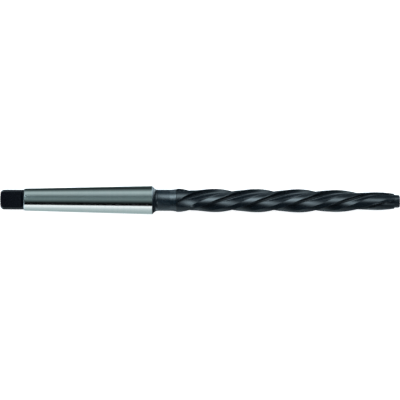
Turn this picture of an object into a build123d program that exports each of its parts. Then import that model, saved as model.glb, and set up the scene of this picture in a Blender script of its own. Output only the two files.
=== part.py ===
from build123d import *
import os
from math import atan2, ceil, cos, pi, radians, sin, sqrt, tan

# A rivet hole reamer: one piece of tool steel, taper shank, neck and a fluted body with a tapered lead.
# It lies along X, tang at -X and tip at +X. The origin is on the axis, in the gauge plane of the taper.

# Lengths along the axis: the lead is part of the flutes' length, and the bevel and the nose are part of the lead
shank_length = 65.1
neck_length = 10.1
flute_length = 95.8
lead_length = 32.0
bevel_length = 7.0
nose_length = 2.4

# Taper shank, size 1 machine taper
gauge_diameter = 12.065
gauge_to_tang_end = 62.0
taper_on_diameter = 0.04988
small_end_chamfer = 0.3
big_end_chamfer = 0.12

# Driving tang: a short cylinder with two milled flats
tang_length = 10.1
tang_diameter = 8.5
tang_thickness = 5.2
tang_flat_length = 8.4
tang_cutter_radius = 1.6
tang_corner_radius = 1.6

# Neck between the shank and the fluted body
neck_diameter = 9.1
neck_fillet_radius = 2.4
shoulder_angle = 45.0
flare_length = 2.4
flare_height = 0.24

# Fluted body
body_diameter = 10.0
body_edge_chamfer = 0.2
lead_taper_on_diameter = 0.1
bevel_taper_on_diameter = 0.21
nose_diameter = 5.7
nose_chamfer = 0.4
flute_count = 4
helix_lead = 71.4
tip_edge_angle = 51.7

# Section of one tooth and the flute beside it
margin_width = 0.25
land_width = 2.4
heel_drop = 0.51
face_depth = 1.5
core_diameter = 5.5
gullet_angle = 20.0
flute_back_radius = 7.0

# Where the flute cutter and the relief wheel lift out, measured from the shoulder of the body
flute_cutter_radius = 30.0
full_depth_offset = 9.3
relief_wheel_radius = 10.0
full_relief_offset = 9.1
relief_overrun = 0.2

# Centre holes in both ends
centre_drill_diameter = 1.6
centre_mouth_diameter = 3.2
centre_drill_depth = 3.2
centre_angle = 60.0

# Places along the axis
tang_end_x = -gauge_to_tang_end
shank_end_x = tang_end_x + shank_length
body_x = shank_end_x + neck_length
tip_x = body_x + flute_length
lead_x = tip_x - lead_length
bevel_x = tip_x - bevel_length
nose_x = tip_x - nose_length
full_depth_x = body_x + full_depth_offset
full_relief_x = body_x + full_relief_offset

# Radii worked out from the sizes above
gauge_radius = gauge_diameter / 2
taper_on_radius = taper_on_diameter / 2
tang_radius = tang_diameter / 2
neck_radius = neck_diameter / 2
body_radius = body_diameter / 2
core_radius = core_diameter / 2
nose_radius = nose_diameter / 2
small_end_x = tang_end_x + tang_length
small_end_radius = gauge_radius + small_end_x * taper_on_radius
shank_end_radius = gauge_radius + shank_end_x * taper_on_radius

# How far a cutting solid reaches past the surface that it cuts
overcut = 1.0

# The relief's arc starts this angle ahead of the margin's end, and its wheel lifts this far past the heel
relief_entry = radians(5.0)
relief_clearance = 0.2

# Spacing of the sections that the helical cuts are lofted through
run_out_step = 2.0
relief_run_out_step = 1.5
body_step = 5.0
bevel_step = 2.5


def edge_radius(x):
    """Radius at the cutting edges at a place along the axis."""
    lead_run = max(0.0, min(x, bevel_x) - lead_x)
    bevel_run = max(0.0, x - bevel_x)
    return body_radius - (lead_run * lead_taper_on_diameter + bevel_run * bevel_taper_on_diameter) / 2


def lift(x, full_x, radius):
    """How far a round cutter has moved out of its full depth, at a place behind where that ends."""
    run = max(0.0, full_x - x)
    return radius - sqrt(radius**2 - run**2)


def lift_run(depth, radius):
    """How far along the axis a round cutter takes to lift out of a depth."""
    return sqrt(radius**2 - (radius - depth) ** 2)


def station(x):
    """A plane across the axis that turns with the left-hand helix and has its X axis on a cutting edge."""
    turn = radians(tip_edge_angle + 360 * (tip_x - x) / helix_lead)
    return Plane(origin=(x, 0, 0), x_dir=(0, cos(turn), sin(turn)), z_dir=(-1, 0, 0))


def polar(radius, angle):
    """A point in a section, with the angle in radians."""
    return Vector(radius * cos(angle), radius * sin(angle))


def angle_from(centre, point):
    """Angle of the way from a centre to a point."""
    way = point - centre
    return atan2(way.Y, way.X)


def arc_centre(start, end, radius):
    """Centre of the arc of a radius from one point to another, turning as the section's angles do."""
    half = (end - start) / 2
    return start + half + Vector(-half.Y, half.X).normalized() * sqrt(radius**2 - half.length**2)


def stations(first, last, step):
    """Evenly spaced places along the axis."""
    count = max(1, ceil((last - first) / step))
    return [first + (last - first) * i / count for i in range(count + 1)]


# Section of one tooth and its flute, with the cutting edge on the section's X axis and the heel behind it
pitch_angle = 2 * pi / flute_count
margin_end = polar(body_radius, margin_width / body_radius)
heel = polar(body_radius - heel_drop, land_width / body_radius)
back_foot_angle = pitch_angle - radians(gullet_angle)
back_foot = polar(core_radius, back_foot_angle)
face_foot = polar(body_radius - face_depth, pitch_angle)

# The land is an arc of the body's radius about a centre of its own, so it falls away behind the margin
land_centre = arc_centre(margin_end, heel, body_radius)
land_start_angle = angle_from(land_centre, margin_end) - relief_entry
land_points = [
    land_centre + polar(body_radius, angle)
    for angle in (land_start_angle, (land_start_angle + back_foot_angle) / 2, back_foot_angle)
]
land_direction = ((margin_end + heel) / 2).normalized()

# The convex back of the flute runs from outside the body, through the heel and down to the gullet
back_centre = arc_centre(heel, back_foot, flute_back_radius)
back_start_angle = angle_from(back_centre, heel) - 2 * overcut / flute_back_radius
back_end_angle = angle_from(back_centre, back_foot)
back_points = [
    back_centre + polar(flute_back_radius, angle)
    for angle in (back_start_angle, (back_start_angle + back_end_angle) / 2, back_end_angle)
]
flute_direction = back_foot.normalized()

# Outside the body an arc closes the flute's section, from the cutting face to the back
void_radius = back_points[0].length
void_points = [
    polar(void_radius, angle)
    for angle in (pitch_angle, (pitch_angle + angle_from(Vector(0, 0), back_points[0])) / 2)
] + back_points[:1]

# Turned blank
with BuildPart() as reamer:
    with BuildSketch(Plane.XY):
        with BuildLine():
            end_top = (tang_end_x, tang_radius - tang_corner_radius)
            Line((tang_end_x, 0), end_top)
            RadiusArc(end_top, (tang_end_x + tang_corner_radius, tang_radius), tang_corner_radius)
            chamfer_top = (
                small_end_x + small_end_chamfer,
                small_end_radius + small_end_chamfer * taper_on_radius,
            )
            shoulder_top = (shank_end_x, shank_end_radius - big_end_chamfer)
            shoulder_slope = radians(shoulder_angle)
            fillet_rise = neck_fillet_radius * (1 - cos(shoulder_slope))
            fillet_run = neck_fillet_radius * sin(shoulder_slope)
            shoulder_rise = shoulder_top[1] - neck_radius - fillet_rise
            fillet_top = (shank_end_x + shoulder_rise / tan(shoulder_slope), neck_radius + fillet_rise)
            fillet_foot = (fillet_top[0] + fillet_run, neck_radius)
            Polyline(
                (tang_end_x + tang_corner_radius, tang_radius),
                (small_end_x, tang_radius),
                (small_end_x, small_end_radius - small_end_chamfer),
                chamfer_top,
                (shank_end_x - big_end_chamfer, shank_end_radius - big_end_chamfer * taper_on_radius),
                shoulder_top,
                fillet_top,
            )
            RadiusArc(fillet_top, fillet_foot, -neck_fillet_radius)
            flare_radius = neck_radius + flare_height
            Polyline(
                fillet_foot,
                (body_x - flare_length, neck_radius),
                (body_x, flare_radius),
                (body_x, body_radius - body_edge_chamfer),
                (body_x + body_edge_chamfer, body_radius),
                (lead_x, body_radius),
                (bevel_x, edge_radius(bevel_x)),
                (nose_x, edge_radius(nose_x)),
                (nose_x, nose_radius),
                (tip_x - nose_chamfer, nose_radius),
                (tip_x, nose_radius - nose_chamfer),
                (tip_x, 0),
                (tang_end_x, 0),
            )
        make_face()
    revolve(axis=Axis.X)

    # Two flats of the tang, each with the round run-out of the cutter
    with BuildSketch(Plane.XZ):
        with BuildLine():
            flat_z = tang_thickness / 2
            flat_end_x = tang_end_x + tang_flat_length
            wall_x = flat_end_x + tang_cutter_radius
            flat_top_z = max(tang_radius, flat_z + tang_cutter_radius) + overcut
            Polyline(
                (wall_x, flat_z + tang_cutter_radius),
                (wall_x, flat_top_z),
                (tang_end_x - overcut, flat_top_z),
                (tang_end_x - overcut, flat_z),
                (flat_end_x, flat_z),
            )
            RadiusArc((flat_end_x, flat_z), (wall_x, flat_z + tang_cutter_radius), -tang_cutter_radius)
        make_face()
        mirror(about=Plane.XZ)
    extrude(amount=tang_diameter, both=True, mode=Mode.SUBTRACT)

    # Centre holes
    centre_slope = tan(radians(centre_angle / 2))
    for end_x, inward in ((tang_end_x, 1), (tip_x, -1)):
        with BuildSketch(Plane.XY):
            with BuildLine():
                mouth_r = centre_mouth_diameter / 2
                drill_r = centre_drill_diameter / 2
                cone_depth = (mouth_r - drill_r) / centre_slope
                point_depth = centre_drill_depth + drill_r * centre_slope
                Polyline(
                    (end_x - inward * overcut, 0),
                    (end_x - inward * overcut, mouth_r),
                    (end_x, mouth_r),
                    (end_x + inward * cone_depth, drill_r),
                    (end_x + inward * centre_drill_depth, drill_r),
                    (end_x + inward * point_depth, 0),
                    close=True,
                )
            make_face()
        revolve(axis=Axis.X, mode=Mode.SUBTRACT)

# One flute, lofted through turning sections, with the lift of the cutter at the neck
flute_exit_x = full_depth_x - lift_run(body_radius - core_radius, flute_cutter_radius)
run_out_stations = stations(flute_exit_x, full_depth_x, run_out_step)[:-1]
with BuildPart() as flute:
    for x in run_out_stations + stations(full_depth_x, tip_x + overcut, body_step):
        shift = flute_direction * lift(x, full_depth_x, flute_cutter_radius)
        with BuildSketch(station(x)):
            with BuildLine():
                ThreePointArc(*[point + shift for point in back_points])
                Polyline(back_foot + shift, face_foot + shift, void_points[0] + shift)
                ThreePointArc(*[point + shift for point in void_points])
            make_face()
    loft()

# Relief ground behind the margin of one land and down to the flute, along the body, the lead and the bevel
relief_exit_x = full_relief_x - lift_run(heel_drop + relief_clearance, relief_wheel_radius)
lift_stations = stations(relief_exit_x, full_relief_x, relief_run_out_step)[:-1]
body_stations = lift_stations + stations(full_relief_x, lead_x, body_step)
lead_stations = stations(lead_x, bevel_x, body_step)
bevel_stations = stations(bevel_x, nose_x + relief_overrun, bevel_step)
with BuildPart() as relief:
    for places in (body_stations, lead_stations, bevel_stations):
        for x in places:
            size_here = edge_radius(x) / body_radius
            shift = land_direction * lift(x, full_relief_x, relief_wheel_radius)
            low = [point * size_here + shift for point in land_points]
            high = [point.normalized() * void_radius + shift for point in land_points]
            with BuildSketch(station(x)):
                with BuildLine():
                    ThreePointArc(*low)
                    Line(low[2], high[2])
                    ThreePointArc(*reversed(high))
                    Line(high[0], low[0])
                make_face()
        loft()

with reamer:
    turns = [Rotation(360 * i / flute_count, 0, 0) for i in range(flute_count)]
    for cut in (flute, relief):
        add([turn * cut.part for turn in turns], mode=Mode.SUBTRACT)

reamer.part.label = "reamer"
os.makedirs("parts", exist_ok=True)
export_step(reamer.part, "parts/reamer.step")
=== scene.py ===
import cmath
import math

import bmesh
import bpy
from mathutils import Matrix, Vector


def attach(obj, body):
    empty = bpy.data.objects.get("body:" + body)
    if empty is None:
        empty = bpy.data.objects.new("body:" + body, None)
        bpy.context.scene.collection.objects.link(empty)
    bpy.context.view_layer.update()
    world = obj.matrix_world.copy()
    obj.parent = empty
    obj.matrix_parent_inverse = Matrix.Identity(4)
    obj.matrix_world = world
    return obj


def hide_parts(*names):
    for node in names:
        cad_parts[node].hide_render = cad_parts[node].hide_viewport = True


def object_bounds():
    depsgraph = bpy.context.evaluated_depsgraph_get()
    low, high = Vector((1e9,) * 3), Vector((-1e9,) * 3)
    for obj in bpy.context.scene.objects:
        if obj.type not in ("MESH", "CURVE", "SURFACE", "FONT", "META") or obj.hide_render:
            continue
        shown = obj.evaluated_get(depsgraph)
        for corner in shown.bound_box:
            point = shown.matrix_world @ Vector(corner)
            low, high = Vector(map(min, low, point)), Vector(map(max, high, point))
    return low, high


# A rivet hole reamer on a plain pale floor. Sizes are in millimetres, and MM turns them into metres.
# The tool lies along X, tang at -X and tip at +X, with its axis on the origin.

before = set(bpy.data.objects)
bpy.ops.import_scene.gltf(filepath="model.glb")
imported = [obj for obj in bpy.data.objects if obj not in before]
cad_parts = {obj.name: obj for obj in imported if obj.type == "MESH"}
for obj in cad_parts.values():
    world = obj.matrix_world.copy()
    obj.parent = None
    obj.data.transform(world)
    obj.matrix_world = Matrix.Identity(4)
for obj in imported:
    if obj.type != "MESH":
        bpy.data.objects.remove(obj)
bpy.context.view_layer.update()
cad_low, cad_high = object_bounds()

MM = 0.001

# Tang
TANG_END = -62.0
TANG_RADIUS = 4.25
TANG_CORNER = 1.6
FLAT_HEIGHT = 2.6
FLAT_END = -53.6
FLAT_CUTTER = 1.6

# Taper shank
SMALL_END = -51.9
SHANK_END = 3.1
GAUGE_RADIUS = 6.0325
TAPER_ON_RADIUS = 0.02494
SMALL_END_CHAMFER = 0.3
BIG_END_CHAMFER = 0.12

# Neck
NECK_RADIUS = 4.55
NECK_FILLET = 2.4
SHOULDER_ANGLE = math.radians(45)
SHOULDER_FOOT = 5.2
FLARE_START = 10.8
FLARE_RISE = 0.24

# Fluted body, lead, bevel and nose
BODY_START = 13.2
BODY_RADIUS = 5.0
BODY_CHAMFER = 0.2
LEAD_START = 77.0
LEAD_SLOPE = 0.05
BEVEL_START = 102.0
BEVEL_SLOPE = 0.105
NOSE_START = 106.6
NOSE_RADIUS = 2.85
NOSE_CHAMFER = 0.4
TIP = 109.0

# Teeth and flutes
TEETH = 4
PITCH = 2 * math.pi / TEETH
HELIX_LEAD = 71.4
TIP_EDGE_ANGLE = math.radians(51.7)
MARGIN_WIDTH = 0.25
LAND_WIDTH = 2.4
HEEL_DROP = 0.51
CORE_RADIUS = 2.75
GULLET_RADIUS = 1.1
BACK_RADIUS = 5.5
FULL_DEPTH = 22.5
FLUTE_CUTTER = 30.0
FULL_RELIEF = 22.3
RELIEF_WHEEL = 10.0

# Centre holes
HOLE_MOUTH = 1.6
HOLE_DRILL = 0.8
HOLE_DEPTH = 3.2
HOLE_SLOPE = math.tan(math.radians(30))

# Points round one tooth and its flute
MARGIN_POINTS = 6
LAND_POINTS = 16
FLUTE_POINTS = 32
TOOTH_POINTS = MARGIN_POINTS + LAND_POINTS + FLUTE_POINTS
RING_POINTS = TEETH * TOOTH_POINTS

# The flute's outline: its step, and how far it goes on above the heel and above the cutting edge
OUTLINE_STEP = 0.05
HEEL_SPARE = 2.0
FACE_SPARE = 1.0

# Halvings in the search for the end of a margin
HALVINGS = 30

# Spaces between the rings of each stretch, and where the flutes' run-out ends and the rings lie wider
CORNER_SPACES = 10
FLAT_SPACES = 9
CONE_SPACES = 16
FILLET_SPACES = 8
NECK_SPACES = 12
FLARE_SPACES = 6
RUN_OUT_SPACES = 27
BODY_SPACES = 53
LEAD_SPACES = 25
BEVEL_SPACES = 6
NOSE_SPACES = 4
RUN_OUT_END = 24.2

# The neck's stretch where the points move from the flutes' places to even ones, and the slack at its ends
BLEND_START = 11.5
BLEND_END = 7.5
NECK_SPARE = 0.1

# Points that agree to this many digits of a metre are one
PLACE_DIGITS = 8

# Sharper turns than this between two faces are edges
EDGE_ANGLE = math.radians(12)

# The finishes, by their places in the tool's list of materials
TANG_FINISH, SHANK_FINISH, EDGE_FINISH, NECK_FINISH, FLUTE_FINISH, LAND_FINISH = range(6)

# Noise in the finishes: the range used, its detail, how little it changes along fine marks, and its relief
NOISE_LOW = 0.3
NOISE_HIGH = 0.7
MOTTLE_DETAIL = 4.0
MARK_DETAIL = 3.0
MARK_STRETCH = 0.03
RELIEF_STRENGTH = 0.5

# The photograph's frame: its pixels and their size, what its middle looks at, and the axis turned in it
FRAME_PIXELS = 400
PIXEL_SIZE = 0.42831
FRAME_WIDTH = FRAME_PIXELS * PIXEL_SIZE * MM
VIEW_CENTRE = Vector((23.45 * MM, 0.175 * MM, 0.0))
VIEW_ROLL = math.radians(0.252)
LENS = 250.0
SENSOR = 36.0
CLIP_NEAR = 0.01
CLIP_FAR = 10.0

# Floor and dome, in metres
FLOOR_REACH = 3.0
FLOOR_COLOUR = (0.9, 0.9, 0.9, 1)
FLOOR_ROUGHNESS = 0.9
FLOOR_LIGHT = 0.95
WHITE = (1, 1, 1, 1)
DOME_RADIUS = 5.0
DOME_SEGMENTS = 48
DOME_RINGS = 24

# The sleeve of cards round the shank. Its bands draw together along X, by a share a metre from its middle.
CARD_DISTANCE = 20.0
CARD_START = -54.0
CARD_END = 4.8
CARD_MIDDLE = -25.0
CARD_TAPER = 2.76
CARD_SEGMENTS = 96
CARD_STRENGTH = 1.08

# The cards' light, matched to the bands in the photograph: angle round the axis in degrees, and radiance
CARD_BANDS = [
    (-180, 0.65), (-115, 0.42), (-80, 0.58), (-55, 1.0), (-46.3, 1.0),
    (-44.3, 0.0), (-22, 0.0), (4, 0.2), (28, 0.088),
    (55, 0.455), (66, 0.455), (88, 0.1), (112, 0.0), (180, 0.28),
]

# The cards' colour: red over green in the dark, its rise with the light and its most, and blue over green
RED_IN_DARK = 0.66
RED_RISE = 0.36
RED_MOST = 0.97
BLUE_SHARE = 1.01

# Soft lights far round the tool, matched to the highlights in the photograph: radiance, angle round the axis
# and half-width in degrees, slant in degrees, place and spread along X (as the X part of the direction)
STUDIO_LIGHTS = [
    (5.8, 44, 20, 26, -0.19, 0.23),
    (3.4, 73, 27, -60, 0.49, 0.18),
    (3.2, -88, 29, 60, -0.9, 0.62),
    (2.0, -132, 19, 60, 0.28, 0.25),
    (1.4, 113, 35, -60, -0.29, 0.18),
    (3.8, 165, 10, -51, 0.74, 0.66),
    (3.0, -32, 12, 0, 0.27, 0.1),
]
STUDIO_TINT = (0.78, 1.0, 1.11, 1)
STUDIO_REST = 0.03


def turn(angle):
    """A unit step in a section, in the direction of an angle."""
    return cmath.exp(1j * angle)


def steps(start, end, count):
    """Even places from one to another, both included."""
    return [start + (end - start) * i / count for i in range(count + 1)]


def to_space(x, radius, angle):
    """A point on the tool, with the angle counted from the top towards +Y."""
    return (x * MM, radius * math.sin(angle) * MM, radius * math.cos(angle) * MM)


def edge_radius(x):
    """Radius at the cutting edges."""
    lead_run = max(0.0, min(x, BEVEL_START) - LEAD_START)
    bevel_run = max(0.0, x - BEVEL_START)
    return BODY_RADIUS - lead_run * LEAD_SLOPE - bevel_run * BEVEL_SLOPE


def blank_radius(x):
    """Radius of the turned neck and body before the flutes are cut."""
    if x <= FLARE_START:
        return NECK_RADIUS
    if x <= BODY_START:
        return NECK_RADIUS + FLARE_RISE * (x - FLARE_START) / (BODY_START - FLARE_START)
    return edge_radius(x)


def lift(x, full, radius):
    """How far a round cutter has moved out at a place behind its full depth."""
    run = min(radius, max(0.0, full - x))
    return radius - math.sqrt(radius**2 - run**2)


def arc_points(centre, radius, start, end):
    """Points along an arc, about one step of the outline apart."""
    count = max(2, round(abs(end - start) * radius / OUTLINE_STEP))
    return [centre + radius * turn(angle) for angle in steps(start, end, count)]


# Sections are complex numbers, with a cutting edge on the real axis


def land_circle(heel):
    """Centre of the land's arc, and the way in which its wheel moves out."""
    margin_end = BODY_RADIUS * turn(MARGIN_WIDTH / BODY_RADIUS)
    chord = heel - margin_end
    reach = math.sqrt(BODY_RADIUS**2 - abs(chord / 2) ** 2)
    centre = (margin_end + heel) / 2 + 1j * chord / abs(chord) * reach
    return centre, (margin_end + heel) / abs(margin_end + heel)


def flute_outline(heel):
    """The flute from above the heel to above the cutting face, and the way in which its cutter moves out."""
    # The gullet touches the core and the cutting face of the next tooth
    gullet_reach = CORE_RADIUS + GULLET_RADIUS
    gullet_centre = gullet_reach * turn(PITCH - math.asin(GULLET_RADIUS / gullet_reach))
    gullet_end = PITCH - 1.5 * math.pi
    face_foot = math.sqrt(gullet_reach**2 - GULLET_RADIUS**2)
    # The convex back leaves the heel and runs smoothly into the gullet
    heel_way = heel - gullet_centre
    back_reach = BACK_RADIUS + GULLET_RADIUS
    back_spread = math.acos(
        (abs(heel_way) ** 2 + back_reach**2 - BACK_RADIUS**2) / (2 * abs(heel_way) * back_reach)
    )
    back_centre = gullet_centre + back_reach * turn(cmath.phase(heel_way) - back_spread)
    back_top = cmath.phase(heel - back_centre) - HEEL_SPARE / BACK_RADIUS
    gullet_start = cmath.phase(back_centre - gullet_centre)
    back_foot = gullet_centre + GULLET_RADIUS * turn(gullet_start)
    outline = arc_points(back_centre, BACK_RADIUS, back_top, cmath.phase(back_foot - back_centre))
    outline += arc_points(gullet_centre, GULLET_RADIUS, gullet_start, gullet_end)[1:]
    face_steps = round((BODY_RADIUS + FACE_SPARE - face_foot) / OUTLINE_STEP)
    outline += [1j * (face_foot + OUTLINE_STEP * (i + 1)) for i in range(face_steps)]
    return outline, back_foot / abs(back_foot)


def point_along(outline, place):
    """A point of an outline, at a place counted in its steps."""
    i = min(int(place), len(outline) - 2)
    return outline[i] + (outline[i + 1] - outline[i]) * (place - i)


def flute_ends(outline, top):
    """Places where a flute's outline goes under and comes up through the top of the metal."""
    heights = [abs(point) - top(cmath.phase(point)) for point in outline]
    inside = [i for i, height in enumerate(heights) if height < 0]
    if not inside:
        lowest = float(heights.index(min(heights)))
        return lowest, lowest
    first, last = inside[0], inside[-1]
    start = first - 1 + heights[first - 1] / (heights[first - 1] - heights[first])
    end = last + heights[last] / (heights[last] - heights[last + 1])
    return start, end


def margin_stop(land_height, blank, heel_angle):
    """Angle where the land falls below the round blank."""
    if land_height(heel_angle) >= blank:
        return heel_angle
    low, high = 0.0, heel_angle
    for _ in range(HALVINGS):
        middle = (low + high) / 2
        if land_height(middle) < blank:
            high = middle
        else:
            low = middle
    return high


def section(x, blank):
    """One tooth and the flute behind it, cut from a round blank, as complex points."""
    size = edge_radius(x) / BODY_RADIUS
    centre = land_centre * size + land_way * lift(x, FULL_RELIEF, RELIEF_WHEEL)
    land_radius = BODY_RADIUS * size
    shift = flute_way * lift(x, FULL_DEPTH, FLUTE_CUTTER)
    outline = [point + shift for point in full_outline]

    def land_height(angle):
        seen = centre / turn(angle)
        return seen.real + math.sqrt(max(0.0, land_radius**2 - seen.imag**2))

    def top(angle):
        return min(blank, land_height(angle))

    start, end = flute_ends(outline, top)
    heel_angle = cmath.phase(point_along(outline, start))
    edge_angle = cmath.phase(point_along(outline, end)) - PITCH
    margin_angle = margin_stop(land_height, blank, heel_angle)
    margin = [blank * turn(a) for a in steps(edge_angle, margin_angle, MARGIN_POINTS)[:-1]]
    land = [top(a) * turn(a) for a in steps(margin_angle, heel_angle, LAND_POINTS)[:-1]]
    flute = [point_along(outline, place) for place in steps(start, end, FLUTE_POINTS)[:-1]]
    return margin + land + [point * min(1.0, blank / abs(point)) for point in flute]


def teeth_round(x, blank):
    """Radii and angles of all the teeth's points at a place."""
    tooth_points = section(x, blank)
    helix = math.pi / 2 - TIP_EDGE_ANGLE - 2 * math.pi * (TIP - x) / HELIX_LEAD
    return [
        (abs(point), cmath.phase(point) + helix + tooth * PITCH)
        for tooth in range(TEETH)
        for point in tooth_points
    ]


def fluted_ring(x, blank, cap=math.inf):
    """The whole section at a place, with a cap on the radius at the nose."""
    return [to_space(x, min(cap, radius), angle) for radius, angle in teeth_round(x, blank)]


def neck_angles():
    """Angles of the points round the neck: even ones, and those that the teeth need."""
    fluted = [angle for _, angle in teeth_round(BLEND_START, blank_radius(BLEND_START))]
    step = 2 * math.pi / RING_POINTS
    drift = sum(angle - i * step for i, angle in enumerate(fluted)) / RING_POINTS
    start = round(drift / step) * step
    return [start + i * step for i in range(RING_POINTS)], fluted


def even_ring(x, radius, flat=math.inf):
    """A round section at even angles; flats at a height cut it above and below."""
    angles = list(even_angles)
    if flat < radius:
        corner = math.acos(flat / radius)
        for edge in (corner, math.pi - corner, math.pi + corner, 2 * math.pi - corner):
            nearest = min(range(RING_POINTS), key=lambda i: 1 - math.cos(angles[i] - edge))
            angles[nearest] = edge
    ring = [to_space(x, radius, angle) for angle in angles]
    return [(px, py, max(-flat * MM, min(flat * MM, pz))) for px, py, pz in ring]


def hole_rings(end, inward):
    """Sizes of a centre hole, from its bottom to its mouth."""
    cone = (HOLE_MOUTH - HOLE_DRILL) / HOLE_SLOPE
    point = HOLE_DEPTH + HOLE_DRILL * HOLE_SLOPE
    return [
        (end + inward * point, 0.0),
        (end + inward * HOLE_DEPTH, HOLE_DRILL),
        (end + inward * cone, HOLE_DRILL),
        (end, HOLE_MOUTH),
    ]


def tang_rings():
    """Centre hole, rounded end, flats and the flats' round run-out."""
    rings = [even_ring(x, radius) for x, radius in hole_rings(TANG_END, 1)]
    for angle in steps(0, math.pi / 2, CORNER_SPACES):
        x = TANG_END + TANG_CORNER * (1 - math.cos(angle))
        radius = TANG_RADIUS - TANG_CORNER * (1 - math.sin(angle))
        rings.append(even_ring(x, radius, FLAT_HEIGHT))
    for angle in steps(0, math.pi / 2, FLAT_SPACES):
        height = FLAT_HEIGHT + FLAT_CUTTER * (1 - math.cos(angle))
        rings.append(even_ring(FLAT_END + FLAT_CUTTER * math.sin(angle), TANG_RADIUS, height))
    rings.append(even_ring(FLAT_END + FLAT_CUTTER, TANG_RADIUS))
    rings.append(even_ring(SMALL_END, TANG_RADIUS))
    return rings


def shank_rings():
    """Taper shank with its two chamfers, the shoulder and the fillet to the neck."""
    small = SMALL_END + SMALL_END_CHAMFER
    big = SHANK_END - BIG_END_CHAMFER
    cone = [(x, GAUGE_RADIUS + x * TAPER_ON_RADIUS) for x in steps(small, big, CONE_SPACES)]
    start = (SMALL_END, GAUGE_RADIUS + SMALL_END * TAPER_ON_RADIUS - SMALL_END_CHAMFER)
    end = (SHANK_END, GAUGE_RADIUS + SHANK_END * TAPER_ON_RADIUS - BIG_END_CHAMFER)
    top = NECK_RADIUS + NECK_FILLET * (1 - math.cos(SHOULDER_ANGLE))
    foot = SHANK_END + (end[1] - top) / math.tan(SHOULDER_ANGLE) + NECK_FILLET * math.sin(SHOULDER_ANGLE)
    fillet = [
        (foot - NECK_FILLET * math.sin(a), NECK_RADIUS + NECK_FILLET * (1 - math.cos(a)))
        for a in steps(SHOULDER_ANGLE, 0, FILLET_SPACES)
    ]
    return [even_ring(x, radius) for x, radius in [start] + cone + [end] + fillet]


def neck_rings():
    """Neck, where the points move round to the places of the teeth."""
    rings = []
    for i, x in enumerate(steps(BLEND_END, BLEND_START, NECK_SPACES)):
        share = i / NECK_SPACES
        radius = blank_radius(x)
        rings.append([
            to_space(x, radius, even + (fluted - even) * share)
            for even, fluted in zip(even_angles, fluted_angles)
        ])
    return rings


def body_rings():
    """Flare, fluted body, lead, bevel, nose and centre hole."""
    flare = steps(BLEND_START, BODY_START, FLARE_SPACES)[1:-1]
    rings = [fluted_ring(x, blank_radius(x)) for x in flare]
    rings.append(fluted_ring(BODY_START, BODY_RADIUS - BODY_CHAMFER))
    places = steps(BODY_START + BODY_CHAMFER, RUN_OUT_END, RUN_OUT_SPACES)
    places += steps(RUN_OUT_END, LEAD_START, BODY_SPACES)[1:]
    places += steps(LEAD_START, BEVEL_START, LEAD_SPACES)[1:]
    places += steps(BEVEL_START, NOSE_START, BEVEL_SPACES)[1:]
    rings += [fluted_ring(x, edge_radius(x)) for x in places]
    nose = [(x, NOSE_RADIUS) for x in steps(NOSE_START, TIP - NOSE_CHAMFER, NOSE_SPACES)]
    nose += [(TIP, NOSE_RADIUS - NOSE_CHAMFER)] + hole_rings(TIP, -1)[::-1]
    rings += [fluted_ring(x, edge_radius(x), cap) for x, cap in nose]
    return rings


def number_points(rings):
    """The places of all points, each once, and each ring as the numbers of its places."""
    numbers = {}
    places = []
    index = []
    for ring in rings:
        row = []
        for point in ring:
            key = tuple(round(value, PLACE_DIGITS) for value in point)
            if key not in numbers:
                numbers[key] = len(places)
                places.append(point)
            row.append(numbers[key])
        index.append(row)
    return places, index


def finish_at(x, place):
    """Which finish a face has, as a place in the list of the tool's materials."""
    if x < SMALL_END:
        return TANG_FINISH
    if SMALL_END + SMALL_END_CHAMFER < x < SHANK_END - BIG_END_CHAMFER:
        return SHANK_FINISH
    if x < SHANK_END:
        return EDGE_FINISH
    if SHOULDER_FOOT < x < BODY_START:
        return NECK_FINISH
    if BODY_START < x < NOSE_START and place < MARGIN_POINTS + LAND_POINTS:
        return LAND_FINISH
    return FLUTE_FINISH


def skin_faces(rings, index):
    """Faces between neighbouring rings, and the finish of each."""
    faces = []
    finishes = []
    for i in range(len(rings) - 1):
        x_here = (rings[i][0][0] + rings[i + 1][0][0]) / 2 / MM
        for j in range(RING_POINTS):
            k = (j + 1) % RING_POINTS
            corners = (index[i][j], index[i + 1][j], index[i + 1][k], index[i][k])
            kept = list(dict.fromkeys(corners))
            if len(kept) > 2:
                faces.append(kept)
                finishes.append(finish_at(x_here, j % TOOTH_POINTS))
    return faces, finishes


def is_plain_neck(x, place):
    """Whether a point lies on the turned neck, clear of the flutes' edges."""
    if x > BODY_START - NECK_SPARE:
        return False
    on_land = 0 < place < MARGIN_POINTS + LAND_POINTS
    in_blend = BLEND_END - NECK_SPARE < x < BLEND_START + NECK_SPARE
    return in_blend or (x > BLEND_START and on_land)


def neck_normal(point):
    """Which way the turned neck faces at a point."""
    slope = FLARE_RISE / (BODY_START - FLARE_START) if point[0] > FLARE_START * MM else 0.0
    return Vector((-slope * math.hypot(point[1], point[2]), point[1], point[2])).normalized()


def smooth_neck(mesh, rings, index):
    """Gives the plain neck its true normals; a zero leaves the others as Blender works them out."""
    turned = {}
    for ring, row in zip(rings, index):
        for j, point in enumerate(ring):
            if is_plain_neck(point[0] / MM, j % TOOTH_POINTS):
                turned[row[j]] = neck_normal(point)
    worked_out = (0.0, 0.0, 0.0)
    mesh.normals_split_custom_set([turned.get(loop.vertex_index, worked_out) for loop in mesh.loops])


def add_object(name, mesh, *materials):
    """An object for a mesh, in the scene, with its materials."""
    for material in materials:
        mesh.materials.append(material)
    thing = bpy.data.objects.new(name, mesh)
    bpy.context.scene.collection.objects.link(thing)
    return thing


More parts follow.
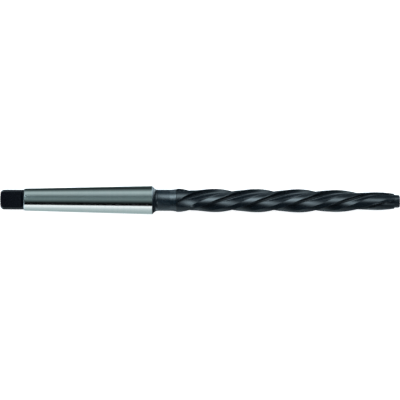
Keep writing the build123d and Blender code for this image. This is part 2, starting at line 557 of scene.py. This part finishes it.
def make_tool():
    """The whole tool as one skin over rings of points, with a finish for each zone."""
    rings = tang_rings() + shank_rings() + neck_rings() + body_rings()
    places, index = number_points(rings)
    faces, finishes = skin_faces(rings, index)
    mesh = bpy.data.meshes.new("reamer_skin")
    mesh.from_pydata(places, [], faces)
    mesh.polygons.foreach_set("material_index", finishes)
    mesh.polygons.foreach_set("use_smooth", [True] * len(mesh.polygons))
    mesh.set_sharp_from_angle(angle=EDGE_ANGLE)
    smooth_neck(mesh, rings, index)
    tool = add_object(
        "reamer_skin", mesh,
        tang_material(), shank_material(), edge_material(),
        neck_material(), flute_material(), land_material(),
    )
    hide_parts("reamer")
    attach(tool, "root")


# Finishes


def node_math(tree, operation, *values):
    """A math node; each input is a socket or a number."""
    node = tree.nodes.new("ShaderNodeMath")
    node.operation = operation
    for socket, value in zip(node.inputs, values):
        if isinstance(value, (int, float)):
            socket.default_value = value
        else:
            tree.links.new(value, socket)
    return node.outputs[0]


def place_parts(tree, kind):
    """Coordinates of one kind, as X, Y and Z: the place on an object, or the direction in the world."""
    coords = tree.nodes.new("ShaderNodeTexCoord")
    parts = tree.nodes.new("ShaderNodeSeparateXYZ")
    tree.links.new(coords.outputs[kind], parts.inputs[0])
    return parts.outputs


def steel(name, metallic, ior_level):
    """A material with a plain shader; gives its tree and its shader too."""
    material = bpy.data.materials.new(name)
    material.use_nodes = True
    shader = material.node_tree.nodes["Principled BSDF"]
    shader.inputs["Metallic"].default_value = metallic
    shader.inputs["Specular IOR Level"].default_value = ior_level
    return material, material.node_tree, shader


def grain(tree, x, y, z, scale, detail):
    """Noise over a place that is stretched by its own coordinates."""
    place = tree.nodes.new("ShaderNodeCombineXYZ")
    for socket, value in zip(place.inputs, (x, y, z)):
        tree.links.new(value, socket)
    noise = tree.nodes.new("ShaderNodeTexNoise")
    noise.inputs["Scale"].default_value = scale
    noise.inputs["Detail"].default_value = detail
    tree.links.new(place.outputs[0], noise.inputs["Vector"])
    return noise.outputs["Fac"]


def mottle(tree, scale):
    """Soft patches, the same in every direction."""
    parts = place_parts(tree, "Object")
    return grain(tree, parts["X"], parts["Y"], parts["Z"], scale, MOTTLE_DETAIL)


def marks_round(tree, scale):
    """Fine marks that run round the tool, from turning or grinding."""
    parts = place_parts(tree, "Object")
    y = node_math(tree, "MULTIPLY", parts["Y"], MARK_STRETCH)
    z = node_math(tree, "MULTIPLY", parts["Z"], MARK_STRETCH)
    return grain(tree, parts["X"], y, z, scale, MARK_DETAIL)


def marks_along(tree, scale):
    """Fine marks that run along the teeth, from milling or grinding with the helix."""
    parts = place_parts(tree, "Object")
    angle = node_math(tree, "ARCTAN2", parts["Y"], parts["Z"])
    twist = node_math(tree, "MULTIPLY", parts["X"], 2 * math.pi / (HELIX_LEAD * MM))
    across = node_math(tree, "MULTIPLY", node_math(tree, "SUBTRACT", angle, twist), BODY_RADIUS * MM)
    along = node_math(tree, "MULTIPLY", parts["X"], MARK_STRETCH)
    y = node_math(tree, "MULTIPLY", parts["Y"], MARK_STRETCH)
    return grain(tree, across, along, y, scale, MARK_DETAIL)


def colour_between(tree, shader, share, dark, light):
    """Base colour that moves between two colours with the noise."""
    mix = tree.nodes.new("ShaderNodeValToRGB")
    mix.color_ramp.elements[0].position = NOISE_LOW
    mix.color_ramp.elements[0].color = (*dark, 1)
    mix.color_ramp.elements[1].position = NOISE_HIGH
    mix.color_ramp.elements[1].color = (*light, 1)
    tree.links.new(share, mix.inputs[0])
    tree.links.new(mix.outputs["Color"], shader.inputs["Base Color"])


def roughness_between(tree, shader, share, smooth, rough):
    """Roughness that moves between two values with the noise."""
    spread = tree.nodes.new("ShaderNodeMapRange")
    spread.inputs["From Min"].default_value = NOISE_LOW
    spread.inputs["From Max"].default_value = NOISE_HIGH
    spread.inputs["To Min"].default_value = smooth
    spread.inputs["To Max"].default_value = rough
    tree.links.new(share, spread.inputs["Value"])
    tree.links.new(spread.outputs["Result"], shader.inputs["Roughness"])


def raise_marks(tree, shader, share, height):
    """Relief of the marks, with their height in metres."""
    bump = tree.nodes.new("ShaderNodeBump")
    bump.inputs["Strength"].default_value = RELIEF_STRENGTH
    bump.inputs["Distance"].default_value = height
    tree.links.new(share, bump.inputs["Height"])
    tree.links.new(bump.outputs["Normal"], shader.inputs["Normal"])


def tang_material():
    """The blackest scale, on the tang."""
    material, tree, shader = steel("black_tang", metallic=0.0, ior_level=0.3)
    patches = mottle(tree, scale=700)
    colour_between(tree, shader, patches, dark=(0.0012, 0.0018, 0.0052), light=(0.0021, 0.0027, 0.007))
    roughness_between(tree, shader, mottle(tree, scale=1500), smooth=0.2, rough=0.3)
    raise_marks(tree, shader, mottle(tree, scale=2600), height=6e-6)
    return material


def shank_material():
    """Bright ground steel of the shank, with the wheel's fine marks round it."""
    material, tree, shader = steel("ground_shank", metallic=1.0, ior_level=0.5)
    marks = marks_round(tree, scale=900)
    colour_between(tree, shader, marks, dark=(0.77, 0.83, 0.83), light=(0.81, 0.85, 0.85))
    roughness_between(tree, shader, marks_round(tree, scale=2500), smooth=0.12, rough=0.16)
    raise_marks(tree, shader, marks_round(tree, scale=9000), height=4e-7)
    return material


def edge_material():
    """Bare steel where the shank's chamfers have rubbed bright."""
    material, tree, shader = steel("bare_edge", metallic=1.0, ior_level=0.5)
    marks = marks_round(tree, scale=3000)
    colour_between(tree, shader, marks, dark=(0.3, 0.33, 0.35), light=(0.5, 0.54, 0.56))
    roughness_between(tree, shader, mottle(tree, scale=2000), smooth=0.35, rough=0.45)
    return material


def neck_material():
    """Black oxide over the turning marks of the neck."""
    material, tree, shader = steel("turned_neck", metallic=0.0, ior_level=0.95)
    patches = mottle(tree, scale=500)
    colour_between(tree, shader, patches, dark=(0.004, 0.013, 0.021), light=(0.007, 0.018, 0.027))
    roughness_between(tree, shader, marks_round(tree, scale=1500), smooth=0.22, rough=0.28)
    raise_marks(tree, shader, marks_round(tree, scale=5000), height=2e-6)
    return material


def flute_material():
    """Black oxide over the milling marks of the flutes."""
    material, tree, shader = steel("black_flute", metallic=0.0, ior_level=0.5)
    patches = mottle(tree, scale=450)
    colour_between(tree, shader, patches, dark=(0.006, 0.01, 0.015), light=(0.011, 0.016, 0.021))
    roughness_between(tree, shader, marks_along(tree, scale=1800), smooth=0.19, rough=0.25)
    raise_marks(tree, shader, marks_along(tree, scale=4000), height=3e-6)
    return material


def land_material():
    """Ground lands, smoother under their oxide than the flutes."""
    material, tree, shader = steel("ground_land", metallic=0.0, ior_level=0.6)
    patches = mottle(tree, scale=450)
    colour_between(tree, shader, patches, dark=(0.006, 0.01, 0.014), light=(0.009, 0.014, 0.019))
    roughness_between(tree, shader, marks_along(tree, scale=2500), smooth=0.14, rough=0.18)
    raise_marks(tree, shader, marks_along(tree, scale=6000), height=1.5e-6)
    return material


# Camera, floor and light


def make_camera():
    """A long lens straight above the tool, as in the photograph."""
    data = bpy.data.cameras.new("camera")
    data.lens = LENS
    data.sensor_width = SENSOR
    data.clip_start = CLIP_NEAR
    data.clip_end = CLIP_FAR
    camera = bpy.data.objects.new("camera", data)
    camera.location = VIEW_CENTRE + Vector((0, 0, FRAME_WIDTH * LENS / SENSOR))
    camera.rotation_euler = (0, 0, VIEW_ROLL)
    bpy.context.scene.collection.objects.link(camera)
    bpy.context.scene.camera = camera


def make_floor():
    """A plain pale floor that the tool lies on; reflections don't see it."""
    mesh = bpy.data.meshes.new("floor")
    sides = [(-1, -1), (1, -1), (1, 1), (-1, 1)]
    corners = [(x * FLOOR_REACH, y * FLOOR_REACH, cad_low.z) for x, y in sides]
    mesh.from_pydata(corners, [], [(0, 1, 2, 3)])
    material = bpy.data.materials.new("floor")
    material.use_nodes = True
    shader = material.node_tree.nodes["Principled BSDF"]
    shader.inputs["Base Color"].default_value = FLOOR_COLOUR
    shader.inputs["Roughness"].default_value = FLOOR_ROUGHNESS
    shader.inputs["Emission Color"].default_value = WHITE
    shader.inputs["Emission Strength"].default_value = FLOOR_LIGHT
    floor = add_object("floor", mesh, material)
    floor.visible_glossy = False


def show_only(thing, camera=False, glossy=False):
    """Lets only the camera, or only reflections, see a thing of the studio."""
    thing.visible_camera = camera
    thing.visible_glossy = glossy
    thing.visible_diffuse = False
    thing.visible_shadow = False
    thing.visible_transmission = False


def light_material(name):
    """A material that only gives light; gives its tree and its shader too."""
    material = bpy.data.materials.new(name)
    material.use_nodes = True
    tree = material.node_tree
    tree.nodes.clear()
    light = tree.nodes.new("ShaderNodeEmission")
    output = tree.nodes.new("ShaderNodeOutputMaterial")
    tree.links.new(light.outputs[0], output.inputs[0])
    return material, tree, light


def make_backdrop():
    """A plain pale dome behind everything, seen by the camera alone."""
    mesh = bpy.data.meshes.new("backdrop")
    shape = bmesh.new()
    bmesh.ops.create_uvsphere(
        shape, u_segments=DOME_SEGMENTS, v_segments=DOME_RINGS, radius=DOME_RADIUS
    )
    shape.to_mesh(mesh)
    shape.free()
    material, _, _ = light_material("backdrop")
    dome = add_object("backdrop", mesh, material)
    show_only(dome, camera=True)


def angle_round_axis(tree, parts):
    """Angle round the tool's axis in degrees, 0 at the top and positive towards +Y."""
    angle = node_math(tree, "ARCTAN2", parts["Y"], parts["Z"])
    return node_math(tree, "DEGREES", angle)


def band_ramp(tree, degrees, bands):
    """Light that changes with the angle; the darker bands are cooler."""
    share = tree.nodes.new("ShaderNodeMapRange")
    share.inputs["From Min"].default_value = -180
    share.inputs["From Max"].default_value = 180
    tree.links.new(degrees, share.inputs["Value"])
    ramp = tree.nodes.new("ShaderNodeValToRGB")
    tree.links.new(share.outputs["Result"], ramp.inputs[0])
    elements = ramp.color_ramp.elements
    while len(elements) < len(bands):
        elements.new(0.5)
    for element, (angle, value) in zip(elements, bands):
        red_share = min(RED_MOST, RED_IN_DARK + RED_RISE * value)
        element.position = (angle + 180) / 360
        element.color = (value * red_share, value, value * BLUE_SHARE, 1)
    return ramp.outputs["Color"]


def sleeve_mesh(name):
    """An open tube round the shank."""
    points = []
    faces = []
    for i in range(CARD_SEGMENTS):
        angle = 2 * math.pi * i / CARD_SEGMENTS
        points += [to_space(x, CARD_DISTANCE, angle) for x in (CARD_START, CARD_END)]
        j = (i + 1) % CARD_SEGMENTS
        faces.append((2 * i, 2 * j, 2 * j + 1, 2 * i + 1))
    mesh = bpy.data.meshes.new(name)
    mesh.from_pydata(points, [], faces)
    return mesh


def make_shank_cards():
    """A sleeve of soft cards round the shank, which only its reflections see."""
    material, tree, light = light_material("shank_cards")
    parts = place_parts(tree, "Object")
    along = node_math(tree, "SUBTRACT", parts["X"], CARD_MIDDLE * MM)
    spread = node_math(tree, "ADD", node_math(tree, "MULTIPLY", along, CARD_TAPER), 1.0)
    degrees = node_math(tree, "MULTIPLY", angle_round_axis(tree, parts), spread)
    tree.links.new(band_ramp(tree, degrees, CARD_BANDS), light.inputs["Color"])
    light.inputs["Strength"].default_value = CARD_STRENGTH
    cards = add_object("shank_cards", sleeve_mesh("shank_cards"), material)
    show_only(cards, glossy=True)


def soft_light(tree, degrees, along, light):
    """Brightness of one soft light in a direction; it fades evenly from its middle."""
    radiance, angle, half_width, slant, place, spread = light
    middle = node_math(tree, "MULTIPLY_ADD", along, slant, angle)
    off = node_math(tree, "WRAP", node_math(tree, "SUBTRACT", degrees, middle), 180, -180)
    across = node_math(tree, "POWER", node_math(tree, "DIVIDE", off, half_width), 2)
    beside = node_math(tree, "DIVIDE", node_math(tree, "SUBTRACT", along, place), spread)
    fade = node_math(tree, "ADD", across, node_math(tree, "POWER", beside, 2))
    share = node_math(tree, "EXPONENT", node_math(tree, "MULTIPLY", fade, -1))
    return node_math(tree, "MULTIPLY", share, radiance)


def make_world():
    """Dim studio with a few soft lights round the tool."""
    world = bpy.data.worlds.new("studio")
    bpy.context.scene.world = world
    world.use_nodes = True
    tree = world.node_tree
    parts = place_parts(tree, "Generated")
    degrees = angle_round_axis(tree, parts)
    total = STUDIO_REST
    for light in STUDIO_LIGHTS:
        total = node_math(tree, "ADD", soft_light(tree, degrees, parts["X"], light), total)
    background = tree.nodes["Background"]
    background.inputs["Color"].default_value = STUDIO_TINT
    tree.links.new(total, background.inputs["Strength"])


# The tooth and flute at full size, and the points' places round the neck
full_heel = (BODY_RADIUS - HEEL_DROP) * turn(LAND_WIDTH / BODY_RADIUS)
land_centre, land_way = land_circle(full_heel)
full_outline, flute_way = flute_outline(full_heel)
even_angles, fluted_angles = neck_angles()

make_tool()
make_camera()
make_floor()
make_backdrop()
make_shank_cards()
make_world()
bpy.context.scene.view_settings.view_transform = "Standard"

bpy.context.view_layer.update()
